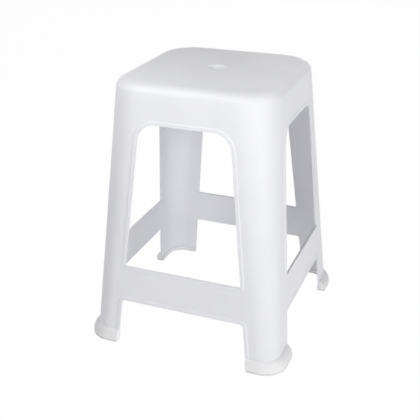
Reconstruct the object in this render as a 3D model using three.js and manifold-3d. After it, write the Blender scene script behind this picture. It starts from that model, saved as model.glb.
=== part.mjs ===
// A stacking stool: one thin-walled plastic moulding on four push-on foot shoes with soft sole pads.
// Millimetres, +Z up. The origin is on the floor under the middle of the seat, and the front faces -Y.

import * as THREE from 'three';
import { mergeVertices } from 'three/addons/utils/BufferGeometryUtils.js';
import Module from 'manifold-3d';

const wasm = await Module();
wasm.setup();

// The moulding's outside: half sizes and corner radii under the seat's edge and at the floor
const seatEdgeHeight = 452.8;
const seatHalfWidth = 136.6;
const seatHalfDepth = 136.8;
const seatCornerRadius = 61.2;
const floorHalfWidth = 169.2;
const floorHalfDepth = 176.7;
const floorCornerRadius = 32;

// The seat: its edge, a quarter of an ellipse that goes in and down, its crown, and the flat middle with
// the finger hole
const seatEdgeInset = 20;
const seatEdgeDrop = 14;
const seatCrown = 0.8;
const seatPanelShare = 0.24;
const fingerHoleRadius = 14;
const wall = 3;

// Under the seat: a collar round the finger hole and a rib each way through the middle
const collarWall = 2.5;
const collarDepth = 9;
const ribWall = 2;
const ribDepth = 7;

// The openings between the legs: a window under the apron, then the stretcher, then a gap to the floor
const frontApronDepth = 60.2;
const sideApronDepth = 63.7;
const stretcherTop = 145.3;
const stretcherBottom = 81.6;
const windowTopRadius = 30;
const windowBottomRadius = 2.5;
const gapTopRadius = 6;
const frontWindowHalfWidth = 76.3;
const frontGapHalfWidth = 117.8;
const sideWindowHalfWidth = 75.4;
const sideGapHalfWidth = 111.2;

// The proud border along the free edges
const borderWidth = 6;
const borderHeight = 1;

// The foot shoes: a channel for the leg, with a hollow bulge outside and a low flange inside. The bulge is
// upright up to its shoulder, where a power of 1 gives a quarter of an ellipse and 2 a straight slope
const shoeTop = 21;
const shoeShoulderHeight = 6;
const shoulderPower = 1.25;
const shoeSideBulge = 10.4;
const shoeFrontBulge = 6.6;
const shoeEdge = 0.8;
const shoeWall = 2;
const shoeFloor = 2.4;
const flangeWall = 1.6;
const flangeTop = 8.5;

// The sole pads: a plate under the shoe, with a rib up into the shoe's hollow
const padThickness = 3;
const padInset = 0.7;
const padRibHeight = 4;
const padRibGap = 0.4;

// Spacing between pieces that touch, and how far a cut runs past what it cuts
const clearance = 0.3;
const overrun = 5;

// Facets of the round stretches
const cornerSegments = 7;
const edgeSteps = 5;
const crownSteps = 3;
const shoulderSteps = 5;
const arcSegments = 6;
const holeSegments = 32;

// The lowest points of the moulding and of the shoes
const shoeFoot = padThickness + clearance;
const frameFoot = shoeFoot + shoeFloor + clearance;

const quarterTurn = Math.PI / 2;
const lerp = THREE.MathUtils.lerp;

// The rounded rectangle of the moulding's outside at a height, grown outwards by an amount
function section(z, grow) {
  const share = 1 - z / seatEdgeHeight;
  return {
    z,
    halfWidth: lerp(seatHalfWidth, floorHalfWidth, share) + grow,
    halfDepth: lerp(seatHalfDepth, floorHalfDepth, share) + grow,
    radius: lerp(seatCornerRadius, floorCornerRadius, share) + grow,
  };
}

// A solid from a closed geometry, and back again
function toSolid(geometry) {
  geometry.deleteAttribute('normal');
  geometry.deleteAttribute('uv');
  const merged = mergeVertices(geometry);
  const vertProperties = merged.attributes.position.array;
  const triVerts = Uint32Array.from(merged.index.array);
  return new wasm.Manifold(new wasm.Mesh({ numProp: 3, vertProperties, triVerts }));
}

function toGeometry(solid) {
  const { vertProperties, triVerts } = solid.getMesh();
  const geometry = new THREE.BufferGeometry();
  geometry.setAttribute('position', new THREE.BufferAttribute(vertProperties, 3));
  geometry.setIndex(new THREE.BufferAttribute(triVerts, 1));
  geometry.computeVertexNormals();
  return geometry;
}

// A solid through a stack of rounded rectangles, lowest first: a unit rounded square is extruded with one
// step for each pair of levels, and each ring of points then takes the size of its own level
function stackedSolid(levels) {
  const outline = new THREE.Shape();
  const unitRadius = 0.5;
  for (let corner = 0; corner < 4; corner += 1) {
    const start = corner * quarterTurn;
    const centre = new THREE.Vector2(unitRadius, unitRadius).rotateAround(new THREE.Vector2(), start);
    outline.absarc(centre.x, centre.y, unitRadius, start, start + quarterTurn, false);
  }
  const steps = levels.length - 1;
  const geometry = new THREE.ExtrudeGeometry(outline, {
    depth: steps,
    steps,
    bevelEnabled: false,
    curveSegments: cornerSegments,
  });
  const point = geometry.attributes.position;
  for (let i = 0; i < point.count; i += 1) {
    const level = levels[Math.round(point.getZ(i))];
    const sideX = Math.sign(point.getX(i));
    const sideY = Math.sign(point.getY(i));
    const directionX = point.getX(i) / unitRadius - sideX;
    const directionY = point.getY(i) / unitRadius - sideY;
    const x = sideX * (level.halfWidth - level.radius) + directionX * level.radius;
    const y = sideY * (level.halfDepth - level.radius) + directionY * level.radius;
    point.setXYZ(i, x, y, level.z);
  }
  return toSolid(geometry);
}

// A prism that follows the legs' slope, offset from the moulding's outside
function legPrism(grow, lowest, highest) {
  return stackedSolid([section(lowest, grow), section(highest, grow)]);
}

// A polygon with its own radius at each corner, drawn with arcs
function roundedPolygon(corners) {
  const shape = new THREE.Shape();
  corners.forEach((corner, index) => {
    const before = corners[(index + corners.length - 1) % corners.length].at;
    const after = corners[(index + 1) % corners.length].at;
    const toBefore = before.clone().sub(corner.at).normalize();
    const toAfter = after.clone().sub(corner.at).normalize();
    const halfAngle = Math.acos(toBefore.dot(toAfter)) / 2;
    const reach = corner.radius / Math.tan(halfAngle);
    const toCentre = toBefore.clone().add(toAfter).normalize();
    const centre = corner.at.clone().addScaledVector(toCentre, corner.radius / Math.sin(halfAngle));
    const first = corner.at.clone().addScaledVector(toBefore, reach).sub(centre).angle();
    const last = corner.at.clone().addScaledVector(toAfter, reach).sub(centre).angle();
    const clockwise = toBefore.cross(toAfter) > 0;
    shape.absarc(centre.x, centre.y, corner.radius, first, last, clockwise);
  });
  return shape;
}

// The two pairs of openings: across the front and back walls, and across the side walls
const frontPair = {
  top: seatEdgeHeight - frontApronDepth,
  topHalf: frontWindowHalfWidth,
  floorHalf: frontGapHalfWidth,
  turn: 0,
};
const sidePair = {
  top: seatEdgeHeight - sideApronDepth,
  topHalf: sideWindowHalfWidth,
  floorHalf: sideGapHalfWidth,
  turn: quarterTurn,
};

// A corner of an opening's outline on one side, at a height, grown outwards along its slanted edge
function openingCorner(pair, side, z, grow, radius) {
  const slope = (pair.floorHalf - pair.topHalf) / pair.top;
  const half = lerp(pair.floorHalf, pair.topHalf, z / pair.top) + grow * Math.hypot(1, slope);
  return { at: new THREE.Vector2(side * half, z), radius };
}

function windowOutline(pair, grow) {
  const top = pair.top + grow;
  const bottom = stretcherTop - grow;
  return roundedPolygon([
    openingCorner(pair, -1, bottom, grow, windowBottomRadius + grow),
    openingCorner(pair, 1, bottom, grow, windowBottomRadius + grow),
    openingCorner(pair, 1, top, grow, windowTopRadius + grow),
    openingCorner(pair, -1, top, grow, windowTopRadius + grow),
  ]);
}

// The gap's lower corners lie below the floor, where their rounding cuts nothing
function gapOutline(pair, grow) {
  const top = stretcherBottom + grow;
  const lowerRadius = overrun / 2;
  return roundedPolygon([
    openingCorner(pair, -1, -overrun, grow, lowerRadius),
    openingCorner(pair, 1, -overrun, grow, lowerRadius),
    openingCorner(pair, 1, top, grow, gapTopRadius + grow),
    openingCorner(pair, -1, top, grow, gapTopRadius + grow),
  ]);
}

// An outline pushed right through the stool, along Y and then turned to its pair of walls
function throughCut(pair, outline) {
  const reach = Math.max(floorHalfWidth + shoeSideBulge, floorHalfDepth + shoeFrontBulge) + overrun;
  const geometry = new THREE.ExtrudeGeometry(outline, {
    depth: 2 * reach,
    bevelEnabled: false,
    curveSegments: arcSegments,
  });
  geometry.rotateX(quarterTurn);
  geometry.translate(0, reach, 0);
  geometry.rotateZ(pair.turn);
  return toSolid(geometry);
}

function bothPairs(outlineOf, grow) {
  const front = throughCut(frontPair, outlineOf(frontPair, grow));
  const side = throughCut(sidePair, outlineOf(sidePair, grow));
  return front.add(side);
}

// The levels of the moulding's outside, or of its inside where it is inset by the wall
function shellLevels(inset, lowest) {
  const top = seatEdgeHeight - inset;
  const edgeInset = seatEdgeInset - inset;
  const edgeDrop = seatEdgeDrop - inset;
  const levels = [section(lowest, -inset)];
  for (let step = 0; step <= edgeSteps; step += 1) {
    const angle = quarterTurn * step / edgeSteps;
    const z = top - edgeDrop + edgeDrop * Math.sin(angle);
    levels.push(section(z, -inset - edgeInset * (1 - Math.cos(angle))));
  }
  const rim = levels[levels.length - 1];
  for (let step = 1; step <= crownSteps; step += 1) {
    const risenShare = 1 - (1 - step / crownSteps) ** 2;
    const sizeShare = lerp(1, seatPanelShare, step / crownSteps);
    levels.push({
      z: rim.z + seatCrown * risenShare,
      halfWidth: rim.halfWidth * sizeShare,
      halfDepth: rim.halfDepth * sizeShare,
      radius: rim.radius * sizeShare,
    });
  }
  return levels;
}

// The collar of the finger hole and the ribs, before they are trimmed to the middle of the wall
function underSeatStiffeners() {
  const ceiling = seatEdgeHeight - wall;
  const top = seatEdgeHeight;
  const collarHeight = top - ceiling + collarDepth;
  const collar = new THREE.CylinderGeometry(
    fingerHoleRadius + collarWall,
    fingerHoleRadius + collarWall,
    collarHeight,
    holeSegments,
  );
  collar.rotateX(quarterTurn);
  collar.translate(0, 0, top - collarHeight / 2);
  const ribHeight = top - ceiling + ribDepth;
  const along = new THREE.BoxGeometry(2 * seatHalfWidth, ribWall, ribHeight);
  along.translate(0, 0, top - ribHeight / 2);
  const across = new THREE.BoxGeometry(ribWall, 2 * seatHalfDepth, ribHeight);
  across.translate(0, 0, top - ribHeight / 2);
  return toSolid(collar).add(toSolid(along)).add(toSolid(across));
}

function fingerHole() {
  const height = seatCrown + wall + collarDepth + 2 * overrun;
  const hole = new THREE.CylinderGeometry(fingerHoleRadius, fingerHoleRadius, height, holeSegments);
  hole.rotateX(quarterTurn);
  hole.translate(0, 0, seatEdgeHeight + seatCrown + overrun - height / 2);
  return toSolid(hole);
}

// The proud border: a skin over the wall, kept only in a band round each opening, above the shoes
function borderBand() {
  const lowest = shoeTop + clearance;
  const highest = seatEdgeHeight - seatEdgeDrop;
  const thickened = legPrism(borderHeight, lowest, highest);
  const hollow = legPrism(-wall / 2, lowest - overrun, highest + overrun);
  const bands = bothPairs(windowOutline, borderWidth).add(bothPairs(gapOutline, borderWidth));
  return thickened.subtract(hollow).intersect(bands);
}

function stoolFrame() {
  const outside = stackedSolid(shellLevels(0, frameFoot));
  const inside = stackedSolid(shellLevels(wall, frameFoot - overrun));
  const middleOfWall = stackedSolid(shellLevels(wall / 2, frameFoot));
  const stiffeners = underSeatStiffeners().intersect(middleOfWall);
  const openings = bothPairs(windowOutline, 0).add(bothPairs(gapOutline, 0));
  return outside
    .subtract(inside)
    .add(stiffeners)
    .add(borderBand())
    .subtract(openings)
    .subtract(fingerHole());
}

// The outside of the shoes' bulge at a height, with a share of each wall's full bulge, thinned by an amount
function bulgeSection(z, share, thin) {
  const leg = section(z, -thin);
  const side = lerp(shoeEdge, shoeSideBulge, share);
  const front = lerp(shoeEdge, shoeFrontBulge, share);
  return {
    z,
    halfWidth: leg.halfWidth + side,
    halfDepth: leg.halfDepth + front,
    radius: leg.radius + (side + front) / 2,
  };
}

// The bulge's upright part, thinned by an amount
function uprightBulge(thin, lowest, highest) {
  return stackedSolid([bulgeSection(lowest, 1, thin), bulgeSection(highest, 1, thin)]);
}

// The whole bulge, thinned by an amount, with its shoulder rounded over to the leg
function wholeBulge(thin, lowest) {
  const levels = [bulgeSection(lowest, 1, thin)];
  const rise = shoeTop - thin - shoeShoulderHeight;
  for (let step = 0; step <= shoulderSteps; step += 1) {
    const angle = quarterTurn * step / shoulderSteps;
    const z = shoeShoulderHeight + rise * Math.sin(angle) ** shoulderPower;
    levels.push(bulgeSection(z, Math.cos(angle) ** shoulderPower, thin));
  }
  return stackedSolid(levels);
}

// The shoes before they are parted: one ring with the channel, the hollow and the ends cut
function shoeRing() {
  const past = shoeTop + overrun;
  const insideFace = -wall - clearance - flangeWall;
  const channel = legPrism(clearance, frameFoot - clearance, past)
    .subtract(legPrism(-wall - clearance, -overrun, flangeTop));
  const hollow = wholeBulge(shoeWall, shoeFoot - overrun)
    .subtract(legPrism(clearance + shoeWall, -2 * overrun, past))
    .subtract(bothPairs(gapOutline, shoeWall));
  return wholeBulge(0, shoeFoot)
    .subtract(legPrism(insideFace, -overrun, past))
    .subtract(channel)
    .subtract(hollow)
    .subtract(bothPairs(gapOutline, 0));
}

// The sole pads before they are parted: a plate, and a rib that fits the shoe's hollow
function padRing() {
  const insideFace = -wall - clearance - flangeWall;
  const past = padThickness + padRibHeight + overrun;
  const plate = uprightBulge(padInset, 0, padThickness)
    .subtract(legPrism(insideFace + padInset, -overrun, past))
    .subtract(bothPairs(gapOutline, padInset));
  const root = padThickness / 2;
  const rib = uprightBulge(shoeWall + padRibGap, root, padThickness + padRibHeight)
    .subtract(legPrism(clearance + shoeWall + padRibGap, -overrun, past))
    .subtract(bothPairs(gapOutline, shoeWall + padRibGap));
  return plate.add(rib);
}

// The quarter of a ring that belongs to one corner
function cornerOf(ring, sideX, sideY) {
  const width = floorHalfWidth + shoeSideBulge + overrun;
  const depth = floorHalfDepth + shoeFrontBulge + overrun;
  const height = shoeTop + 2 * overrun;
  const quarter = new THREE.BoxGeometry(width, depth, height);
  quarter.translate(sideX * width / 2, sideY * depth / 2, height / 2 - overrun);
  return ring.intersect(toSolid(quarter));
}

// Colours and finishes
const framePlastic = { color: 0xe8eaed, roughness: 0.42, metalness: 0 };
const shoePlastic = { color: 0xe6e8ea, roughness: 0.46, metalness: 0 };
const soleRubber = { color: 0xd9d8d2, roughness: 0.75, metalness: 0 };

function namedMesh(name, solid, finish, origin) {
  const geometry = toGeometry(solid);
  geometry.translate(-origin.x, -origin.y, -origin.z);
  const mesh = new THREE.Mesh(geometry, new THREE.MeshStandardMaterial(finish));
  mesh.name = name;
  return mesh;
}

const stool = new THREE.Group();
stool.name = 'stacking_stool';
stool.add(namedMesh('moulded_stool_frame', stoolFrame(), framePlastic, new THREE.Vector3()));

// One group for each foot, at the floor under the corner of its leg
const shoes = shoeRing();
const pads = padRing();
const corners = [
  { name: 'front_left', sideX: -1, sideY: -1 },
  { name: 'front_right', sideX: 1, sideY: -1 },
  { name: 'back_left', sideX: -1, sideY: 1 },
  { name: 'back_right', sideX: 1, sideY: 1 },
];
for (const { name, sideX, sideY } of corners) {
  const foot = new THREE.Group();
  foot.position.set(sideX * floorHalfWidth, sideY * floorHalfDepth, 0);
  foot.add(namedMesh(`foot_shoe_${name}`, cornerOf(shoes, sideX, sideY), shoePlastic, foot.position));
  foot.add(namedMesh(`sole_pad_${name}`, cornerOf(pads, sideX, sideY), soleRubber, foot.position));
  stool.add(foot);
}

export default stool;
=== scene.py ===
"""A white moulded plastic stacking stool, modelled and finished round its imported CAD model.

Lengths are metres. +Z is up, the origin is on the floor under the middle of the seat, and the front of the
stool faces -Y. The stool is one thin-walled moulding on four push-on foot shoes with soft sole pads.
"""

import logging
import math
from collections.abc import Iterator, Mapping, Sequence
from dataclasses import dataclass
from enum import Enum, IntEnum

import bmesh
import bpy
from bmesh.types import BMEdge, BMesh, BMFace, BMVert
from mathutils import Matrix, Vector


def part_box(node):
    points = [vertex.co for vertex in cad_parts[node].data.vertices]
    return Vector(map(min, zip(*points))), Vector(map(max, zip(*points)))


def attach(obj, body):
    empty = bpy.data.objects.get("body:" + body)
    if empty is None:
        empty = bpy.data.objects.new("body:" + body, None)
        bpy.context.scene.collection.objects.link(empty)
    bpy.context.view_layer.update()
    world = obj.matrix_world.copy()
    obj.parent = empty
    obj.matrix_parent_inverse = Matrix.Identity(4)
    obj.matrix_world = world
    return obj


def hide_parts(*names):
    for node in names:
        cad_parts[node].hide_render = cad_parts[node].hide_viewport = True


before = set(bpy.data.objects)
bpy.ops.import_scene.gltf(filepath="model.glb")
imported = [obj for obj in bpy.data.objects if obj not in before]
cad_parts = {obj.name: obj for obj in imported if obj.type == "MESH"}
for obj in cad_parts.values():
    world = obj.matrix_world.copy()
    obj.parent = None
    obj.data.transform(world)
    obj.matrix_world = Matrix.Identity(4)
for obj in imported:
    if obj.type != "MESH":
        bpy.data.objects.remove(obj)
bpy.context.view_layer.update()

LOG = logging.getLogger("stool")
MM = 0.001
QUARTER = math.pi / 2
UP = Vector((0, 0, 1))

Triple = tuple[float, float, float]


def lerp(start: float, end: float, share: float) -> float:
    """Return the value a share of the way from start to end."""
    return start + (end - start) * share


def smooth_step(low: float, high: float, value: float) -> float:
    """Return 0 below low, 1 above high, and a smooth rise between them."""
    share = min(max((value - low) / (high - low), 0), 1)
    return share * share * (3 - 2 * share)


class Corner(Enum):
    """The stool's corners counter-clockwise from above, with the signs of their X and Y."""

    BACK_RIGHT = (1, 1)
    BACK_LEFT = (-1, 1)
    FRONT_LEFT = (-1, -1)
    FRONT_RIGHT = (1, -1)

    @property
    def start(self) -> float:
        """The angle at which the corner's arc starts."""
        return QUARTER * list(Corner).index(self)

    @property
    def label(self) -> str:
        """The corner's name as the pieces carry it."""
        return self.name.lower()


class SkinFace(IntEnum):
    """The material slots that tell the moulding's faces apart while it gets its wall thickness."""

    OUTSIDE = 0
    INSIDE = 1
    RIM = 2


class Wall(Enum):
    """The four walls, with the turn about Z that brings the front wall to each."""

    FRONT = 0.0
    RIGHT = QUARTER
    BACK = 2 * QUARTER
    LEFT = 3 * QUARTER

    @property
    def across_depth(self) -> bool:
        """Whether the wall runs along Y, as the two side walls do."""
        return self in (Wall.RIGHT, Wall.LEFT)


@dataclass(frozen=True)
class Section:
    """The rounded rectangle of the moulding's outside at one height."""

    z: float
    half_width: float
    half_depth: float
    radius: float

    def shrunk(self, share: float, z: float) -> "Section":
        """Return the section scaled about the middle by a share, at another height."""
        return Section(z, self.half_width * share, self.half_depth * share, self.radius * share)

    def arc_point(self, corner: Corner, turn: float) -> Vector:
        """Return a point on a corner's arc.

        Args:
            corner: The corner.
            turn: The angle past the arc's start.

        Returns:
            The point, at the section's height.
        """
        side_x, side_y = corner.value
        angle = corner.start + turn
        x = side_x * (self.half_width - self.radius) + self.radius * math.cos(angle)
        y = side_y * (self.half_depth - self.radius) + self.radius * math.sin(angle)
        return Vector((x, y, self.z))

    def ring(self, arc_steps: int, rib_half: float) -> list[Vector]:
        """Return the points round the section.

        Args:
            arc_steps: The steps of each corner's arc.
            rib_half: Half the width of a rib, which meets the middle of each side.

        Returns:
            For each corner the points of its arc, then the rib's two points on the side that follows.
        """
        points = []
        for corner in Corner:
            points += [self.arc_point(corner, QUARTER * step / arc_steps) for step in range(arc_steps + 1)]
            towards_side = corner.start + QUARTER
            outwards = Vector((round(math.cos(towards_side)), round(math.sin(towards_side)), 0))
            along = UP.cross(outwards)
            reach = self.half_width if outwards.x else self.half_depth
            middle = outwards * reach + UP * self.z
            points += [middle - along * rib_half, middle + along * rib_half]
        return points


@dataclass(frozen=True)
class Form:
    """The outside of the moulding, which the shoes and pads follow too."""

    seat_edge_height: float = 452.8 * MM
    seat_half_width: float = 136.6 * MM
    seat_half_depth: float = 136.8 * MM
    seat_corner_radius: float = 61.2 * MM
    floor_half_width: float = 169.2 * MM
    floor_half_depth: float = 176.7 * MM
    floor_corner_radius: float = 32 * MM
    wall: float = 3 * MM
    front_window_top: float = 392.6 * MM
    front_window_half: float = 76.3 * MM
    front_gap_half: float = 117.8 * MM
    side_window_top: float = 389.1 * MM
    side_window_half: float = 75.4 * MM
    side_gap_half: float = 111.2 * MM

    def section(self, z: float, grow: float = 0) -> Section:
        """Work out the outside's section at a height.

        Args:
            z: The height.
            grow: How far the section is grown outwards.

        Returns:
            The section.
        """
        share = 1 - z / self.seat_edge_height
        return Section(
            z,
            lerp(self.seat_half_width, self.floor_half_width, share) + grow,
            lerp(self.seat_half_depth, self.floor_half_depth, share) + grow,
            lerp(self.seat_corner_radius, self.floor_corner_radius, share) + grow,
        )

    def free_edge_slope(self, side: bool) -> float:
        """Work out how far a leg's free edge leans inwards for each unit of height.

        Args:
            side: Whether the wall is one of the two side walls.

        Returns:
            The slope.
        """
        if side:
            return (self.side_gap_half - self.side_window_half) / self.side_window_top
        return (self.front_gap_half - self.front_window_half) / self.front_window_top

    def free_edge(self, side: bool, z: float) -> float:
        """Return how far a leg's free edge is from the middle of its wall.

        Args:
            side: Whether the wall is one of the two side walls.
            z: The height.

        Returns:
            The distance along the wall.
        """
        at_floor = self.side_gap_half if side else self.front_gap_half
        return at_floor - self.free_edge_slope(side) * z


class Sweep:
    """A surface drawn by a closed row of points, extruded again and again and placed on new points.

    Each vertex keeps two numbers: its row, and its slot in the row. Faces are found again by them.
    """

    def __init__(self, bm: BMesh, points: Sequence[Vector]) -> None:
        """Start the surface with its first row.

        Args:
            bm: An empty mesh, which gets the layers row and slot.
            points: The points of the first row.
        """
        self.bm = bm
        self.row = bm.verts.layers.int.new("row")
        self.slot = bm.verts.layers.int.new("slot")
        verts = bmesh.ops.create_circle(bm, cap_ends=False, radius=1, segments=len(points))["verts"]
        for number, (vert, point) in enumerate(zip(verts, points, strict=True)):
            vert.co = point
            vert[self.slot] = number
        self.front: list[BMEdge] = list(bm.edges)

    def extrude(self, points: Sequence[Vector]) -> None:
        """Extrude the edges in front and place each new vertex on the point of its slot.

        Args:
            points: The next row's points.
        """
        geometry = bmesh.ops.extrude_edge_only(self.bm, edges=self.front)["geom"]
        self.front = [item for item in geometry if isinstance(item, BMEdge)]
        for vert in (item for item in geometry if isinstance(item, BMVert)):
            vert.co = points[vert[self.slot]]
            vert[self.row] += 1

    def cap(self, edges: Sequence[BMEdge]) -> None:
        """Close a row of edges with one face."""
        bmesh.ops.contextual_create(self.bm, geom=list(edges))

    def patch(self, rows: range, slots: range) -> list[BMFace]:
        """Find the faces whose vertices all lie in some rows and slots.

        Args:
            rows: The rows.
            slots: The slots.

        Returns:
            The faces.
        """
        found = []
        for face in self.bm.faces:
            if all(vert[self.row] in rows and vert[self.slot] in slots for vert in face.verts):
                found.append(face)
        return found


def push_out(bm: BMesh, faces: Sequence[BMFace], by: Vector) -> list[BMVert]:
    """Extrude a region of faces by a vector, so that it stands proud or sinks in.

    Args:
        bm: The mesh.
        faces: The region, whose old faces are removed.
        by: How far the region moves.

    Returns:
        The moved vertices.
    """
    geometry = bmesh.ops.extrude_face_region(bm, geom=list(faces))["geom"]
    bmesh.ops.delete(bm, geom=list(faces), context="FACES")
    moved = [item for item in geometry if isinstance(item, BMVert)]
    bmesh.ops.translate(bm, verts=moved, vec=by)
    return moved


def to_object(bm: BMesh, name: str) -> bpy.types.Object:
    """Turn a mesh under construction into an object in the scene.

    Args:
        bm: The mesh, which is freed.
        name: The object's name.

    Returns:
        The object, at the origin.
    """
    mesh = bpy.data.meshes.new(name)
    bm.to_mesh(mesh)
    bm.free()
    piece = bpy.data.objects.new(name, mesh)
    bpy.context.scene.collection.objects.link(piece)
    return piece


def apply_modifiers(piece: bpy.types.Object) -> BMesh:
    """Apply an object's modifiers.

    Args:
        piece: The object, which is deleted.

    Returns:
        The mesh that its modifiers give.
    """
    graph = bpy.context.evaluated_depsgraph_get()
    mesh = bpy.data.meshes.new_from_object(
        piece.evaluated_get(graph), preserve_all_data_layers=True, depsgraph=graph
    )
    bm = bmesh.new()
    bm.from_mesh(mesh)
    bpy.data.objects.remove(piece)
    bpy.data.meshes.remove(mesh)
    return bm


@dataclass(frozen=True)
class Rounding:
    """How the sharp edges of a piece are rounded off."""

    width: float
    segments: int = 3
    sharpest_smooth: float = math.radians(40)

    def add_to(self, piece: bpy.types.Object) -> None:
        """Give a piece its rounded edges, with large flat faces kept flat in the shading.

        Args:
            piece: The piece.
        """
        piece.data.set_sharp_from_angle(angle=self.sharpest_smooth)
        bevel = piece.modifiers.new("Rounded edges", "BEVEL")
        bevel.width = self.width
        bevel.segments = self.segments
        bevel.limit_method = "ANGLE"
        bevel.angle_limit = self.sharpest_smooth
        normals = piece.modifiers.new("Flat faces", "WEIGHTED_NORMAL")
        normals.keep_sharp = False
        normals.weight = 100


@dataclass(frozen=True)
class Border:
    """The proud border along the free edges.

    It starts to rise at the distance outside from the free edge and has its height at the distance inside.
    Above the shoes it comes up over the height fade.
    """

    height: float = 1 * MM
    outside: float = 7.4 * MM
    inside: float = 4.8 * MM
    steps: int = 6
    fade: float = 6 * MM

    def profile(self) -> list[tuple[float, float]]:
        """Work out the border's cross-section.

        Returns:
            Distances from the free edge, largest first, each with the border's height there.
        """
        points = []
        for step in range(self.steps + 1):
            share = step / self.steps
            points.append((lerp(self.outside, self.inside, share), self.height * smooth_step(0, 1, share)))
        return points + [(0, self.height)]


@dataclass
class OpenWall:
    """One flat wall with its window and the gap under its stretcher.

    It is built standing in X and Z, with -Y outwards, and then leant and turned into its place. Its openings
    follow the legs' free edges. The lower one runs on below the floor and is cut off at the moulding's foot.
    """

    form: Form
    border: Border
    side: bool
    foot: float
    wall_top: float
    shoe_top: float
    rib_half: float
    levels: Sequence[float]
    stretcher_top: float = 145.3 * MM
    stretcher_bottom: float = 81.6 * MM
    window_top_radius: float = 30 * MM
    window_bottom_radius: float = 2.5 * MM
    gap_top_radius: float = 6 * MM
    arc_steps: int = 10
    below_floor: float = 30 * MM
    cut_tolerance: float = 0.01 * MM
    fade_steps: int = 4

    def flat_half(self, z: float) -> float:
        """Work out half the width of the flat wall between the corner arcs.

        Args:
            z: The height.

        Returns:
            The half width.
        """
        section = self.form.section(z)
        reach = section.half_depth if self.side else section.half_width
        return reach - section.radius

    def opening(self, bm: BMesh, low: float, high: float, low_radius: float, high_radius: float) -> None:
        """Add the border's loops round one opening, and leave the opening itself empty.

        Args:
            bm: The wall's mesh.
            low: The height of the opening's lower edge.
            high: The height of its upper edge.
            low_radius: The radius of its lower corners.
            high_radius: The radius of its upper corners.
        """
        lift = bm.verts.layers.float_vector["lift"]
        slope = self.form.free_edge_slope(self.side)
        grow = self.border.outside
        along = grow * math.hypot(1, slope)
        lean = math.atan(slope)
        corners = (
            (1, low - grow, low_radius, QUARTER - lean),
            (1, high + grow, high_radius, QUARTER + lean),
            (-1, high + grow, high_radius, QUARTER + lean),
            (-1, low - grow, low_radius, QUARTER - lean),
        )
        verts = bmesh.ops.create_circle(bm, cap_ends=True, radius=1, segments=len(corners))["verts"]
        for vert, (sign, z, _, _) in zip(verts, corners, strict=True):
            vert.co = (sign * (self.form.free_edge(self.side, z) + along), 0, z)
        for vert, (_, _, radius, angle) in zip(verts, corners, strict=True):
            arc = bmesh.ops.bevel(
                bm,
                geom=[vert],
                offset=(radius + grow) / math.tan(angle / 2),
                offset_type="OFFSET",
                segments=self.arc_steps,
                profile=0.5,
                affect="VERTICES",
                material=-1,
            )
        face = arc["verts"][0].link_faces[0]
        rings = self.border.profile()
        for (outer, _), (inner, height) in zip(rings, rings[1:]):
            bmesh.ops.inset_individual(bm, faces=[face], thickness=outer - inner, use_even_offset=True)
            for vert in face.verts:
                vert[lift] = (0, -height, 0)
        bmesh.ops.delete(bm, geom=[face], context="FACES_ONLY")

    def outline(self, bm: BMesh) -> list[BMEdge]:
        """Add the outline of the wall, with the points that the corners and the seat share.

        Args:
            bm: The wall's mesh.

        Returns:
            The outline's edges.
        """
        right = [Vector((self.flat_half(z), 0, z)) for z in (-self.below_floor, *self.levels)]
        left = [Vector((-point.x, 0, point.z)) for point in reversed(right)]
        ribs = [Vector((reach, 0, self.wall_top)) for reach in (self.rib_half, -self.rib_half)]
        points = [*right, *ribs, *left]
        verts = bmesh.ops.create_circle(bm, cap_ends=False, radius=1, segments=len(points))["verts"]
        for vert, point in zip(verts, points, strict=True):
            vert.co = point
        return list(dict.fromkeys(edge for vert in verts for edge in vert.link_edges))

    def build(self) -> BMesh:
        """Build the flat wall.

        Returns:
            The mesh, with the border's rise kept in the vertex layer lift.
        """
        bm = bmesh.new()
        lift = bm.verts.layers.float_vector.new("lift")
        below = -self.below_floor + self.border.outside + self.border.height
        window_top = self.form.side_window_top if self.side else self.form.front_window_top
        self.opening(bm, self.stretcher_top, window_top, self.window_bottom_radius, self.window_top_radius)
        self.opening(bm, below, self.stretcher_bottom, self.window_bottom_radius, self.gap_top_radius)
        loops = []
        for edge in bm.edges:
            if edge.is_boundary and not any(vert[lift].length for vert in edge.verts):
                loops.append(edge)
        loops += self.outline(bm)
        bmesh.ops.triangle_fill(bm, use_beauty=True, use_dissolve=False, edges=loops, normal=(0, -1, 0))
        self.cut(bm, self.foot, True)
        for step in range(self.fade_steps + 1):
            self.cut(bm, self.shoe_top + self.border.fade * step / self.fade_steps, False)
        for vert in bm.verts:
            vert[lift] = vert[lift] * smooth_step(self.shoe_top, self.shoe_top + self.border.fade, vert.co.z)
        return bm

    def cut(self, bm: BMesh, z: float, clear_below: bool) -> None:
        """Cut the wall along a height.

        Args:
            bm: The wall's mesh.
            z: The height.
            clear_below: Whether what lies below is cleared away.
        """
        bmesh.ops.bisect_plane(
            bm,
            geom=[*bm.verts, *bm.edges, *bm.faces],
            dist=self.cut_tolerance,
            plane_co=UP * z,
            plane_no=-UP,
            clear_outer=clear_below,
        )

    def placed(self, wall: Wall) -> bpy.types.Mesh:
        """Return the wall as a mesh in its place on the stool.

        Args:
            wall: Which of the four walls it is.

        Returns:
            A mesh that leans and is turned as the wall is, with the lift turned alike.
        """
        bm = self.build()
        form = self.form
        floor = form.floor_half_width if self.side else form.floor_half_depth
        seat = form.seat_half_width if self.side else form.seat_half_depth
        lean = Matrix.Translation((0, -floor, 0))
        lean[1][2] = (floor - seat) / form.seat_edge_height
        turn = Matrix.Rotation(wall.value, 4, "Z")
        lift = bm.verts.layers.float_vector["lift"]
        for vert in bm.verts:
            vert[lift] = turn @ Vector(vert[lift])
        bmesh.ops.transform(bm, matrix=turn @ lean, verts=bm.verts)
        mesh = bpy.data.meshes.new("wall")
        bm.to_mesh(mesh)
        bm.free()
        return mesh


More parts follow.
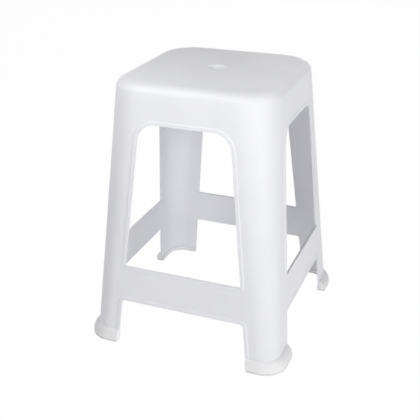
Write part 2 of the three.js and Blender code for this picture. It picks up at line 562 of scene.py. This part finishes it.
@dataclass
class Moulding:
    """The stool's one moulding: seat, apron, legs, stretchers, seat ribs and the finger hole's collar."""

    form: Form
    node: str = "moulded_stool_frame"
    seat_edge_inset: float = 20 * MM
    seat_edge_drop: float = 14 * MM
    seat_panel_share: float = 0.24
    finger_hole_radius: float = 14 * MM
    finger_hole_rounding: float = 3.2 * MM
    collar_bottom: float = 440.8 * MM
    rib_bottom: float = 442.8 * MM
    rib_half: float = 1 * MM
    shoe_top: float = 21.8 * MM
    finger_hole_steps: int = 5
    border: Border = Border()
    rounding: Rounding = Rounding(0.9 * MM)
    arc_steps: int = 20
    leg_steps: int = 24
    edge_steps: int = 14
    crown_steps: int = 12
    panel_steps: int = 4
    merge_distance: float = 0.02 * MM
    joint_merge_distance: float = 0.1 * MM

    def __post_init__(self) -> None:
        """Take the moulding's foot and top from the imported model."""
        low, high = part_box(self.node)
        self.foot = low.z
        self.top = high.z
        self.wall_top = self.form.seat_edge_height - self.seat_edge_drop

    @property
    def corner_slots(self) -> int:
        """The slots of a ring that belong to one corner and the side after it."""
        return self.arc_steps + 3

    def levels(self) -> list[float]:
        """Work out the heights of the legs' rows.

        Returns:
            The heights, from the moulding's foot to the top of the walls.
        """
        fade = self.border.fade
        wall_steps = OpenWall.fade_steps
        low = [self.foot, *(self.shoe_top + fade * step / wall_steps for step in range(wall_steps + 1))]
        span = self.wall_top - low[-1]
        return low + [low[-1] + span * step / self.leg_steps for step in range(1, self.leg_steps + 1)]

    def ring(self, section: Section) -> list[Vector]:
        """Return the points round a section, with the steps that every ring of the moulding has."""
        return section.ring(self.arc_steps, self.rib_half)

    def hole_ring(self, z: float) -> list[Vector]:
        """Work out the points of the finger hole's edge.

        Args:
            z: The height.

        Returns:
            The points, slot for slot like those of the other rings.
        """
        rib_turn = math.asin(self.rib_half / self.finger_hole_radius)
        first = 2 * rib_turn
        shares = [step / self.arc_steps for step in range(self.arc_steps + 1)]
        turns = [lerp(first, QUARTER - first, share) for share in shares]
        points = []
        for corner in Corner:
            for turn in (*turns, QUARTER - rib_turn, QUARTER + rib_turn):
                angle = corner.start + turn
                across = Vector((math.cos(angle), math.sin(angle), 0)) * self.finger_hole_radius
                points.append(across + UP * z)
        return points

    def seat_rings(self) -> Iterator[list[Vector]]:
        """Give the rings from the top of the walls over the seat's edge to the bottom of the collar.

        The seat's edge is a quarter of an ellipse that runs on smoothly into the crown.

        Returns:
            Each ring's points in turn.
        """
        crown = self.top - self.form.seat_edge_height
        run = (self.form.seat_half_width - self.seat_edge_inset) * (1 - self.seat_panel_share)
        last_turn = math.atan2(self.seat_edge_drop, self.seat_edge_inset * 2 * crown / run)
        for step in range(1, self.edge_steps + 1):
            angle = last_turn * step / self.edge_steps
            z = self.wall_top + self.seat_edge_drop * math.sin(angle)
            rim = self.form.section(z, self.seat_edge_inset * (math.cos(angle) - 1))
            yield self.ring(rim)
        for step in range(1, self.crown_steps + 1):
            share = step / self.crown_steps
            z = lerp(rim.z, self.top, 1 - (1 - share) ** 2)
            panel = self.ring(rim.shrunk(lerp(1, self.seat_panel_share, share), z))
            yield panel
        hole = self.hole_ring(self.top)
        for step in range(1, self.panel_steps + 1):
            yield [start.lerp(end, step / self.panel_steps) for start, end in zip(panel, hole, strict=True)]
        yield self.hole_ring(self.rib_bottom)
        yield self.hole_ring(self.collar_bottom)

    @property
    def hole_row(self) -> int:
        """The row of the finger hole's upper edge."""
        return self.edge_steps + self.crown_steps + self.panel_steps

    def skin(self) -> bpy.types.Object:
        """Build the outside of the moulding: the seat and collar, the legs' corners and the four flat walls.

        Returns:
            One open surface, with the border's rise kept in the vertex layer lift.
        """
        bm = bmesh.new()
        bm.verts.layers.float_vector.new("lift")
        sweep = Sweep(bm, self.ring(self.form.section(self.wall_top)))
        wall_top_edges = sweep.front
        for points in self.seat_rings():
            sweep.extrude(points)
        sweep.front = [edge for edge in wall_top_edges if self.is_corner_edge(edge, sweep)]
        for z in reversed(self.levels()[:-1]):
            sweep.extrude(self.ring(self.form.section(z)))
        # The legs' rows have the same numbers as the seat's, so they are set back to 0.
        for vert in bm.verts:
            if vert.co.z < self.wall_top - self.merge_distance:
                vert[sweep.row] = 0
        for wall in Wall:
            panel = OpenWall(
                self.form,
                self.border,
                wall.across_depth,
                self.foot,
                self.wall_top,
                self.shoe_top,
                self.rib_half,
                self.levels(),
            )
            bm.from_mesh(panel.placed(wall))
        bmesh.ops.remove_doubles(bm, verts=bm.verts, dist=self.merge_distance)
        bmesh.ops.recalc_face_normals(bm, faces=bm.faces)
        return to_object(bm, "moulding_skin")

    def is_corner_edge(self, edge: BMEdge, sweep: Sweep) -> bool:
        """Tell whether an edge of a ring lies on a corner's arc."""
        first, last = sorted(vert[sweep.slot] for vert in edge.verts)
        return last - first == 1 and last % self.corner_slots in range(1, self.arc_steps + 1)

    def thickened(self) -> BMesh:
        """Give the skin its wall thickness and raise the border on the outside.

        Returns:
            The mesh, whose faces have the material slots of SkinFace.
        """
        skin = self.skin()
        for _ in SkinFace:
            skin.data.materials.append(None)
        solid = skin.modifiers.new("Wall thickness", "SOLIDIFY")
        solid.thickness = self.form.wall
        solid.offset = -1
        solid.use_even_offset = True
        solid.use_quality_normals = True
        solid.material_offset = SkinFace.INSIDE
        solid.material_offset_rim = SkinFace.RIM
        bm = apply_modifiers(skin)
        lift = bm.verts.layers.float_vector["lift"]
        outside = [face for face in bm.faces if face.material_index == SkinFace.OUTSIDE]
        for vert in {vert for face in outside for vert in face.verts}:
            vert.co += vert[lift]
        for vert in bm.verts:
            vert.co.z = max(vert.co.z, self.foot)
        return bm

    def add_ribs(self, bm: BMesh) -> None:
        """Pull the four seat ribs down from the ceiling, between the walls and the collar.

        Args:
            bm: The thickened moulding.
        """
        row = bm.verts.layers.int["row"]
        slot = bm.verts.layers.int["slot"]
        for corner in range(len(Corner)):
            first = corner * self.corner_slots + self.arc_steps + 1
            slots = (first, first + 1)
            strip = []
            column = []
            for face in bm.faces:
                rows = {vert[row] for vert in face.verts}
                lowest = min(vert.co.z for vert in face.verts)
                on_line = all(vert[slot] in slots for vert in face.verts)
                if face.material_index != SkinFace.INSIDE or not on_line or 0 in rows:
                    continue
                if rows == {self.hole_row, self.hole_row + 1}:
                    column.append(face)
                elif max(rows) <= self.hole_row and lowest > self.rib_bottom + self.merge_distance:
                    strip.append(face)
            moved = push_out(bm, strip, Vector())
            for vert in moved:
                vert.co.z = self.rib_bottom
            # Where the rib meets the collar, its end and the strip of the collar behind it are taken out.
            ends = dict.fromkeys(face for vert in moved for face in vert.link_faces)
            column += [face for face in ends if {vert[row] for vert in face.verts} == {self.hole_row}]
            bmesh.ops.delete(bm, geom=column, context="FACES")
            joint = [vert for vert in bm.verts if vert[slot] in slots and vert[row] >= self.hole_row]
            bmesh.ops.remove_doubles(bm, verts=joint, dist=self.joint_merge_distance)
            bmesh.ops.remove_doubles(bm, verts=bm.verts, dist=self.merge_distance)

    def round_finger_hole(self, bm: BMesh) -> None:
        """Round the edge of the finger hole more than the moulding's other edges.

        Args:
            bm: The moulding with its ribs.
        """
        row = bm.verts.layers.int["row"]
        rim = []
        for edge in bm.edges:
            on_row = all(vert[row] == self.hole_row for vert in edge.verts)
            if on_row and all(vert.co.z > self.top - self.form.wall / 2 for vert in edge.verts):
                rim.append(edge)
        bmesh.ops.bevel(
            bm,
            geom=rim,
            offset=self.finger_hole_rounding,
            offset_type="OFFSET",
            segments=self.finger_hole_steps,
            profile=0.5,
            affect="EDGES",
            material=-1,
        )

    def build(self) -> bpy.types.Object:
        """Build the moulding.

        Returns:
            The piece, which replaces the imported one.
        """
        bm = self.thickened()
        self.add_ribs(bm)
        self.round_finger_hole(bm)
        for face in bm.faces:
            face.material_index = 0
            face.smooth = True
        for name in ("row", "slot"):
            bm.verts.layers.int.remove(bm.verts.layers.int[name])
        bm.verts.layers.float_vector.remove(bm.verts.layers.float_vector["lift"])
        piece = to_object(bm, "moulded_stool")
        self.rounding.add_to(piece)
        return piece


@dataclass(frozen=True)
class ProfilePoint:
    """A point of a foot piece's profile: its height, and how far it stands outside the leg.

    A share of the wall's bulge is added to its distance, and at a leg's free edge it has another distance.
    """

    z: float
    grow: float
    share: float = 0
    end_grow: float | None = None

    def distance(self, bulge: float, fullness: float) -> float:
        """Return how far the point stands outside the leg.

        Args:
            bulge: The wall's bulge.
            fullness: 0 at a leg's free edge and 1 where the bulge is full.

        Returns:
            The distance.
        """
        full = self.grow + self.share * bulge
        return full if self.end_grow is None else lerp(self.end_grow, full, fullness)


@dataclass
class FootPiece:
    """What the shoes and the pads share: a profile carried from one free edge of a leg to the other.

    The piece is drawn at the front right leg and mirrored to its own corner.
    """

    form: Form
    corner: Corner
    arc_steps: int = 16
    end_steps: int = 6
    shoulder_height: float = 6 * MM
    side_bulge: float = 10.4 * MM
    front_bulge: float = 6.6 * MM
    end_radius: float = 2.5 * MM
    edge: float = 0.8 * MM
    seam: float = 0.05 * MM
    shell: float = 2 * MM
    flange: float = 1.6 * MM

    def on_front(self, point: ProfilePoint, setback: float, fullness: float) -> Vector:
        """Place a point of the profile over the front wall.

        Args:
            point: The point.
            setback: Its distance from the leg's free edge.
            fullness: 0 at the free edge and 1 where the bulge is full.

        Returns:
            The place.
        """
        x = self.form.free_edge(False, point.z) + setback
        y = self.form.section(point.z).half_depth + point.distance(self.front_bulge, fullness)
        return Vector((x, -y, point.z))

    def on_side(self, point: ProfilePoint, setback: float, fullness: float) -> Vector:
        """Place a point of the profile over the side wall.

        Args:
            point: The point.
            setback: Its distance from the leg's free edge.
            fullness: 0 at the free edge and 1 where the bulge is full.

        Returns:
            The place.
        """
        x = self.form.section(point.z).half_width + point.distance(self.side_bulge, fullness)
        y = self.form.free_edge(True, point.z) + setback
        return Vector((x, -y, point.z))

    def on_corner(self, point: ProfilePoint, turn: float) -> Vector:
        """Place a point of the profile round the corner, where the front bulge goes over into the side's.

        Args:
            point: The point.
            turn: The angle from the front wall.

        Returns:
            The place.
        """
        leg = self.form.section(point.z)
        side = point.distance(self.side_bulge, 1)
        front = point.distance(self.front_bulge, 1)
        outside = Section(
            point.z, leg.half_width + side, leg.half_depth + front, leg.radius + (side + front) / 2
        )
        return outside.arc_point(Corner.FRONT_RIGHT, turn)

    def rows(self, profile: Sequence[ProfilePoint], start: float) -> Iterator[list[Vector]]:
        """Give the rows of a profile carried round the leg, with the bulge rounded off at both ends.

        Args:
            profile: The profile's points.
            start: The distance of the first row from the leg's free edge.

        Returns:
            Each row's points in turn, from the front wall's free edge to the side wall's.
        """
        ends = []
        for step in range(self.end_steps + 1):
            angle = QUARTER * step / self.end_steps
            ends.append((lerp(self.end_radius, start, math.cos(angle)), math.sin(angle)))
        for setback, fullness in ends:
            yield [self.on_front(point, setback, fullness) for point in profile]
        for step in range(self.arc_steps + 1):
            turn = QUARTER * step / self.arc_steps
            yield [self.on_corner(point, turn) for point in profile]
        for setback, fullness in reversed(ends):
            yield [self.on_side(point, setback, fullness) for point in profile]

    def swept(self, profile: Sequence[ProfilePoint], start: float) -> Sweep:
        """Build the closed body of a profile carried round the leg.

        Args:
            profile: The profile's points.
            start: The distance of the first row from the leg's free edge.

        Returns:
            The swept body.
        """
        rows = self.rows(profile, start)
        sweep = Sweep(bmesh.new(), next(rows))
        first = sweep.front
        for points in rows:
            sweep.extrude(points)
        sweep.cap(first)
        sweep.cap(sweep.front)
        return sweep

    @property
    def full_rows(self) -> range:
        """The rows where the bulge is full."""
        return range(self.end_steps, self.end_steps + self.arc_steps + 3)

    def finish(self, sweep: Sweep, name: str, rounding: Rounding) -> bpy.types.Object:
        """Mirror the body to its corner and turn it into a piece with rounded edges.

        Args:
            sweep: The body at the front right leg.
            name: The piece's name without its corner.
            rounding: The rounding of its edges.

        Returns:
            The piece.
        """
        bm = sweep.bm
        side_x, side_y = self.corner.value
        bmesh.ops.transform(bm, matrix=Matrix.Diagonal((side_x, -side_y, 1, 1)), verts=bm.verts)
        bmesh.ops.recalc_face_normals(bm, faces=bm.faces)
        for face in bm.faces:
            face.smooth = True
        for layer in ("row", "slot"):
            bm.verts.layers.int.remove(bm.verts.layers.int[layer])
        piece = to_object(bm, f"{name}_{self.corner.label}")
        rounding.add_to(piece)
        return piece


@dataclass
class FootShoe(FootPiece):
    """A shoe: a channel for the leg's end, a hollow bulge outside it and a low flange inside."""

    shoulder_power: float = 1.25
    floor: float = 2.4 * MM
    flange_top: float = 8.5 * MM
    hollow_height: float = 7 * MM
    shoulder_steps: int = 14
    rounding: Rounding = Rounding(0.5 * MM)

    @property
    def node(self) -> str:
        """The CAD node that the shoe replaces."""
        return f"foot_shoe_{self.corner.label}"

    def profile(self, bottom: float, top: float) -> list[ProfilePoint]:
        """Return the shoe's profile, up the bulge, round the channel and back along the sole.

        Args:
            bottom: The height of the shoe's sole.
            top: The height of its upper edge.

        Returns:
            The profile's points, of which the last two hold the hollow.
        """
        seam = self.seam
        points = [ProfilePoint(bottom, 0, 1, self.edge)]
        for step in range(self.shoulder_steps):
            angle = QUARTER * step / self.shoulder_steps
            z = self.shoulder_height + (top - self.shoulder_height) * math.sin(angle) ** self.shoulder_power
            share = math.cos(angle) ** self.shoulder_power
            points.append(ProfilePoint(z, seam * (1 - share), share, lerp(seam, self.edge, share)))
        inside = -self.form.wall - seam
        channel_floor = bottom + self.floor
        for z, grow in (
            (top, seam),
            (channel_floor, seam),
            (channel_floor, inside),
            (self.flange_top, inside),
            (self.flange_top, inside - self.flange),
            (bottom, inside - self.flange),
        ):
            points.append(ProfilePoint(z, grow))
        points.append(ProfilePoint(bottom, seam + self.shell, 0, -2 * self.edge))
        points.append(ProfilePoint(bottom, -self.shell, 1, -self.edge))
        return points

    def build(self) -> bpy.types.Object:
        """Build the shoe.

        Returns:
            The piece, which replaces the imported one.
        """
        low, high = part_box(self.node)
        profile = self.profile(low.z, high.z)
        sweep = self.swept(profile, 0)
        last = len(profile) - 1
        sole = sweep.patch(self.full_rows, range(last - 1, last + 1))
        push_out(sweep.bm, sole, UP * self.hollow_height)
        return self.finish(sweep, "shoe", self.rounding)


@dataclass
class SolePad(FootPiece):
    """A soft pad under a shoe, with a rib that presses into the shoe's hollow."""

    thickness: float = 3 * MM
    inset: float = 0.7 * MM
    rib_gap: float = 0.4 * MM
    rounding: Rounding = Rounding(0.45 * MM, 2)

    @property
    def node(self) -> str:
        """The CAD node that the pad replaces."""
        return f"sole_pad_{self.corner.label}"

    def build(self) -> bpy.types.Object:
        """Build the pad.

        Returns:
            The piece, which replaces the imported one.
        """
        low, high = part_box(self.node)
        top = low.z + self.thickness
        inner = -self.form.wall - self.flange + self.inset
        profile = (
            ProfilePoint(top, self.shell + self.rib_gap, 0, -2 * self.edge),
            ProfilePoint(top, -self.shell - self.rib_gap, 1, -self.edge),
            ProfilePoint(top, -self.inset, 1, 0),
            ProfilePoint(low.z, -self.inset, 1, 0),
            ProfilePoint(low.z, inner),
            ProfilePoint(top, inner),
        )
        sweep = self.swept(profile, self.inset)
        plate = sweep.patch(self.full_rows, range(2))
        push_out(sweep.bm, plate, UP * (high.z - top))
        return self.finish(sweep, "pad", self.rounding)


class Value:
    """A number from a shader socket, which adds Math nodes when it is used in an expression."""

    def __init__(self, sheet: "Sheet", socket: bpy.types.NodeSocket) -> None:
        """Wrap a socket of a sheet's nodes."""
        self.sheet = sheet
        self.socket = socket

    def __add__(self, other: "Value | float") -> "Value":
        """Return the sum."""
        return self.sheet.math("ADD", self, other)

    __radd__ = __add__

    def __sub__(self, other: "Value | float") -> "Value":
        """Return the difference."""
        return self.sheet.math("SUBTRACT", self, other)

    def __rsub__(self, other: float) -> "Value":
        """Return the difference from a plain number."""
        return self.sheet.math("SUBTRACT", other, self)

    def __mul__(self, other: "Value | float") -> "Value":
        """Return the product."""
        return self.sheet.math("MULTIPLY", self, other)

    __rmul__ = __mul__

    def between(self, low: float, high: float) -> "Value":
        """Turn the number into a share.

        Args:
            low: The number up to which the share is 0.
            high: The number from which the share is 1.

        Returns:
            The share, which rises smoothly between the two.
        """
        settings = {"interpolation_type": "SMOOTHSTEP"}
        sockets = {"Value": self, "From Min": low, "From Max": high}
        return self.sheet.value("ShaderNodeMapRange", settings, sockets, "Result")


class Sheet:
    """The nodes of one material or of the world.

    A Mix node has a pair of inputs for each kind of data, so its colours are found by their numbers.
    """

    MIX_FIRST_COLOUR = 6
    MIX_SECOND_COLOUR = 7
    MIX_COLOUR_RESULT = 2

    def __init__(self, tree: bpy.types.NodeTree) -> None:
        """Take a node tree and empty it."""
        self.tree = tree
        tree.nodes.clear()

    def node(
        self, kind: str, settings: Mapping[str, object], sockets: Mapping[str | int, object]
    ) -> bpy.types.Node:
        """Add a node.

        Args:
            kind: The node's type.
            settings: Its properties, which are set before the sockets.
            sockets: Values, or sockets and Values to link from, by the name or number of the input.

        Returns:
            The node.
        """
        node = self.tree.nodes.new(kind)
        for name, setting in settings.items():
            setattr(node, name, setting)
        for key, source in sockets.items():
            source = source.socket if isinstance(source, Value) else source
            if isinstance(source, bpy.types.NodeSocket):
                self.tree.links.new(source, node.inputs[key])
            else:
                node.inputs[key].default_value = source
        return node

    def value(
        self, kind: str, settings: Mapping[str, object], sockets: Mapping[str | int, object], output: str
    ) -> Value:
        """Add a node and return one of its outputs as a Value."""
        return Value(self, self.node(kind, settings, sockets).outputs[output])

    def math(self, operation: str, first: Value | float, second: Value | float) -> Value:
        """Add a Math node with two numbers."""
        return self.value("ShaderNodeMath", {"operation": operation}, {0: first, 1: second}, "Value")

    def place(self, scale: Triple) -> bpy.types.NodeSocket:
        """Add nodes that give the object's own coordinates.

        Args:
            scale: What the coordinates are multiplied by along each axis.

        Returns:
            The socket of the coordinates.
        """
        coordinates = self.node("ShaderNodeTexCoord", {}, {}).outputs["Object"]
        mapping = self.node("ShaderNodeMapping", {}, {"Vector": coordinates, "Scale": scale})
        return mapping.outputs["Vector"]

    def noise(self, size: float, detail: float, scale: Triple = (1, 1, 1)) -> Value:
        """Add a noise texture on the object's own coordinates.

        Args:
            size: About how large its patches are.
            detail: Its number of finer layers.
            scale: What the coordinates are multiplied by along each axis.

        Returns:
            The noise.
        """
        sockets = {"Vector": self.place(scale), "Scale": 1 / size, "Detail": detail}
        return self.value("ShaderNodeTexNoise", {}, sockets, "Fac")

    def blend(self, share: Value, first: Triple, second: Triple) -> bpy.types.NodeSocket:
        """Mix two colours.

        Args:
            share: The share of the second colour.
            first: The first colour.
            second: The second colour.

        Returns:
            The socket of the mixed colour.
        """
        node = self.node("ShaderNodeMix", {"data_type": "RGBA"}, {"Factor": share})
        node.inputs[self.MIX_FIRST_COLOUR].default_value = (*first, 1)
        node.inputs[self.MIX_SECOND_COLOUR].default_value = (*second, 1)
        return node.outputs[self.MIX_COLOUR_RESULT]

    def bump(
        self, height: Value, depth: float, under: bpy.types.NodeSocket | None = None
    ) -> bpy.types.NodeSocket:
        """Add relief.

        Args:
            height: The relief's height, from 0 to 1.
            depth: The height that 1 stands for.
            under: The normals of another relief, which this one lies on.

        Returns:
            The socket of the normals.
        """
        sockets = {"Height": height, "Distance": depth, "Strength": 1}
        if under is not None:
            sockets["Normal"] = under
        return self.node("ShaderNodeBump", {}, sockets).outputs["Normal"]


@dataclass(frozen=True)
class Patches:
    """Soft patches of noise: their size and detail, and the noise at which they start and are full."""

    size: float
    detail: float
    start: float
    full: float
    scale: Triple = (1, 1, 1)

    def on(self, sheet: Sheet) -> Value:
        """Add the patches to a sheet, as 0 between them and 1 inside them."""
        return sheet.noise(self.size, self.detail, self.scale).between(self.start, self.full)


@dataclass(frozen=True)
class Plastic:
    """Moulded plastic: faintly cloudy, with mould texture and ripple, and smoother where hands rub it."""

    name: str
    colour: Triple
    cloud: Triple
    roughness: float
    roughness_spread: float
    grain_size: float
    grain_depth: float
    ripple_size: float
    ripple_depth: float
    rubbed_gloss: float
    scratch_dulling: float = 0.6
    specular: float = 0.3
    ior: float = 1.49
    clouds: Patches = Patches(70 * MM, 3, 0.35, 0.7)
    rubbed: Patches = Patches(34 * MM, 4, 0.5, 0.72)
    scratches: Patches = Patches(2.2 * MM, 2, 0.66, 0.76, (0.05, 1, 1))

    def material(self) -> bpy.types.Material:
        """Make the material.

        Returns:
            The material, with scratches only where the plastic is rubbed.
        """
        material = bpy.data.materials.new(self.name)
        material.use_nodes = True
        sheet = Sheet(material.node_tree)
        clouds = self.clouds.on(sheet)
        rubbed = self.rubbed.on(sheet)
        scratches = self.scratches.on(sheet)
        dulling = self.scratch_dulling * self.rubbed_gloss * scratches * rubbed
        roughness = self.roughness + self.roughness_spread * (clouds - 0.5)
        roughness = roughness - self.rubbed_gloss * rubbed + dulling
        ripple = sheet.bump(sheet.noise(self.ripple_size, 1), self.ripple_depth)
        grain = sheet.bump(sheet.noise(self.grain_size, 3), self.grain_depth, ripple)
        shader = sheet.node(
            "ShaderNodeBsdfPrincipled",
            {},
            {
                "Base Color": sheet.blend(clouds, self.colour, self.cloud),
                "Roughness": roughness,
                "IOR": self.ior,
                "Specular IOR Level": self.specular,
                "Normal": grain,
            },
        )
        sheet.node("ShaderNodeOutputMaterial", {}, {"Surface": shader.outputs["BSDF"]})
        return material


@dataclass(frozen=True)
class Rubber:
    """Soft sole rubber: matt, finely pitted, with a little floor dust ground in."""

    name: str
    colour: Triple
    dust: Triple
    roughness: float = 0.78
    dust_roughness: float = 0.1
    pit_size: float = 0.8 * MM
    pit_depth: float = 0.06 * MM
    dusty: Patches = Patches(9 * MM, 5, 0.45, 0.8)

    def material(self) -> bpy.types.Material:
        """Make the material.

        Returns:
            The material.
        """
        material = bpy.data.materials.new(self.name)
        material.use_nodes = True
        sheet = Sheet(material.node_tree)
        dusty = self.dusty.on(sheet)
        shader = sheet.node(
            "ShaderNodeBsdfPrincipled",
            {},
            {
                "Base Color": sheet.blend(dusty, self.colour, self.dust),
                "Roughness": self.roughness + self.dust_roughness * dusty,
                "Normal": sheet.bump(sheet.noise(self.pit_size, 2), self.pit_depth),
            },
        )
        sheet.node("ShaderNodeOutputMaterial", {}, {"Surface": shader.outputs["BSDF"]})
        return material


@dataclass(frozen=True)
class Lamp:
    """A soft square lamp. Its azimuth turns from the stool's front to its right, in degrees."""

    name: str
    azimuth: float
    elevation: float
    size: float
    watts: float
    distance: float

    def add(self, target: Vector) -> None:
        """Add the lamp to the scene.

        Args:
            target: The point that it shines at.
        """
        light = bpy.data.lights.new(self.name, "AREA")
        light.shape = "SQUARE"
        light.size = self.size
        light.energy = self.watts
        lamp = bpy.data.objects.new(self.name, light)
        across, up = math.radians(self.azimuth), math.radians(self.elevation)
        away = Vector((math.sin(across) * math.cos(up), -math.cos(across) * math.cos(up), math.sin(up)))
        lamp.location = target + away * self.distance
        lamp.rotation_euler = away.to_track_quat("Z", "Y").to_euler()
        bpy.context.scene.collection.objects.link(lamp)


@dataclass(frozen=True)
class Studio:
    """White surroundings: an even sky, soft lamps, and a lit white floor that keeps only a faint shadow."""

    ambient: float = 0.1
    floor_colour: float = 0.8
    floor_light: float = 0.3
    floor_tint: Triple = (0.97, 0.97, 1.0)
    floor_white: float = 0.975
    floor_half_size: float = 8.0
    lamp_target_height: float = 0.22
    lamps: tuple[Lamp, ...] = (
        Lamp("right_low", azimuth=60, elevation=12, size=1.6, watts=42, distance=3.0),
        Lamp("left_low", azimuth=-90, elevation=12, size=1.6, watts=9, distance=3.0),
        Lamp("back_low", azimuth=180, elevation=12, size=1.6, watts=10, distance=3.0),
        Lamp("front_near", azimuth=20, elevation=32, size=0.5, watts=1.4, distance=1.0),
        Lamp("seat_near", azimuth=-30, elevation=60, size=0.5, watts=3.6, distance=1.0),
    )

    def build(self) -> None:
        """Add the sky, the lamps and the floor."""
        self.build_sky()
        self.build_floor()
        for lamp in self.lamps:
            lamp.add(UP * self.lamp_target_height)

    def seen(self, sheet: Sheet) -> Value:
        """Tell what the camera sees, directly or by reflection, from other light.

        Args:
            sheet: The nodes of the world or the floor.

        Returns:
            1 for what is seen and 0 for other light.
        """
        path = sheet.node("ShaderNodeLightPath", {}, {})
        kinds = ("Camera", "Glossy", "Transmission")
        camera, glossy, through = (Value(sheet, path.outputs[f"Is {kind} Ray"]) for kind in kinds)
        return (camera + glossy + through).between(0.25, 0.75)

    def build_sky(self) -> None:
        """Make the world white to the camera and an even soft light to everything else."""
        world = bpy.data.worlds.new("white_studio")
        world.use_nodes = True
        bpy.context.scene.world = world
        sheet = Sheet(world.node_tree)
        strength = self.ambient + (1 - self.ambient) * self.seen(sheet)
        back = sheet.node("ShaderNodeBackground", {}, {"Color": (1, 1, 1, 1), "Strength": strength})
        sheet.node("ShaderNodeOutputWorld", {}, {"Surface": back.outputs["Background"]})

    def build_floor(self) -> None:
        """Add the floor, which looks white, keeps a faint shadow and lights the stool softly from below."""
        bm = bmesh.new()
        bmesh.ops.create_grid(bm, x_segments=1, y_segments=1, size=self.floor_half_size)
        floor = to_object(bm, "studio_floor")
        material = bpy.data.materials.new("studio_floor")
        material.use_nodes = True
        sheet = Sheet(material.node_tree)
        grey = self.floor_colour
        paint = sheet.node("ShaderNodeBsdfDiffuse", {}, {"Color": (grey, grey, grey, 1)})
        light = sheet.node(
            "ShaderNodeEmission", {}, {"Color": (*self.floor_tint, 1), "Strength": self.floor_light}
        )
        lit = sheet.node("ShaderNodeAddShader", {}, {0: paint.outputs[0], 1: light.outputs[0]})
        white = sheet.node("ShaderNodeEmission", {}, {"Color": (1, 1, 1, 1), "Strength": 1.0})
        share = self.floor_white * self.seen(sheet)
        mixed = sheet.node("ShaderNodeMixShader", {}, {0: share, 1: lit.outputs[0], 2: white.outputs[0]})
        sheet.node("ShaderNodeOutputMaterial", {}, {"Surface": mixed.outputs[0]})
        floor.data.materials.append(material)


@dataclass(frozen=True)
class PhotoCamera:
    """The camera that took the photograph, found by fitting the stool's edges to it."""

    azimuth: float = 21.718
    elevation: float = 25.259
    roll: float = -0.45
    distance: float = 1362.659 * MM
    target: Triple = (-10.655 * MM, -8.062 * MM, 195.845 * MM)
    focal_pixels: float = 765.244
    image_pixels: float = 420
    sensor: float = 36

    def add(self) -> None:
        """Add the camera and make it the scene's."""
        across, up, roll = (math.radians(angle) for angle in (self.azimuth, self.elevation, self.roll))
        back = Vector((math.sin(across) * math.cos(up), -math.cos(across) * math.cos(up), math.sin(up)))
        level_right = Vector((math.cos(across), math.sin(across), 0))
        level_up = back.cross(level_right)
        right = level_right * math.cos(roll) + level_up * math.sin(roll)
        above = level_up * math.cos(roll) - level_right * math.sin(roll)
        data = bpy.data.cameras.new("photo_camera")
        data.sensor_width = self.sensor
        data.lens = self.focal_pixels / self.image_pixels * self.sensor
        camera = bpy.data.objects.new("photo_camera", data)
        place = Matrix((right, above, back)).transposed().to_4x4()
        place.translation = Vector(self.target) + back * self.distance
        camera.matrix_world = place
        bpy.context.scene.collection.objects.link(camera)
        bpy.context.scene.camera = camera


FRAME_PLASTIC = Plastic(
    name="frame_plastic",
    colour=(0.858, 0.861, 0.89),
    cloud=(0.843, 0.846, 0.877),
    roughness=0.42,
    roughness_spread=0.05,
    grain_size=1.1 * MM,
    grain_depth=0.02 * MM,
    ripple_size=38 * MM,
    ripple_depth=0.25 * MM,
    rubbed_gloss=0.06,
)
SHOE_PLASTIC = Plastic(
    name="shoe_plastic",
    colour=(0.885, 0.885, 0.89),
    cloud=(0.87, 0.87, 0.876),
    roughness=0.5,
    roughness_spread=0.05,
    grain_size=0.9 * MM,
    grain_depth=0.02 * MM,
    ripple_size=16 * MM,
    ripple_depth=0.12 * MM,
    rubbed_gloss=0.08,
)
SOLE_RUBBER = Rubber(name="sole_rubber", colour=(0.72, 0.72, 0.69), dust=(0.6, 0.595, 0.57))


def dress(piece: bpy.types.Object, material: bpy.types.Material, node: str) -> None:
    """Give a piece its material and put it in the place of a CAD node.

    Args:
        piece: The piece.
        material: Its material.
        node: The CAD node that it replaces.
    """
    piece.data.materials.clear()
    piece.data.materials.append(material)
    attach(piece, "root")
    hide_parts(node)
    LOG.info("%s stands for %s with %d faces", piece.name, node, len(piece.data.polygons))


def main() -> None:
    """Build the stool, its studio and the camera."""
    logging.basicConfig(level=logging.INFO, format="%(message)s")
    form = Form()
    frame_plastic = FRAME_PLASTIC.material()
    shoe_plastic = SHOE_PLASTIC.material()
    sole_rubber = SOLE_RUBBER.material()
    moulding = Moulding(form)
    dress(moulding.build(), frame_plastic, moulding.node)
    for corner in Corner:
        shoe = FootShoe(form, corner)
        dress(shoe.build(), shoe_plastic, shoe.node)
        pad = SolePad(form, corner)
        dress(pad.build(), sole_rubber, pad.node)
    Studio().build()
    PhotoCamera().add()
    bpy.context.scene.view_settings.view_transform = "Standard"


if __name__ == "__main__":
    main()
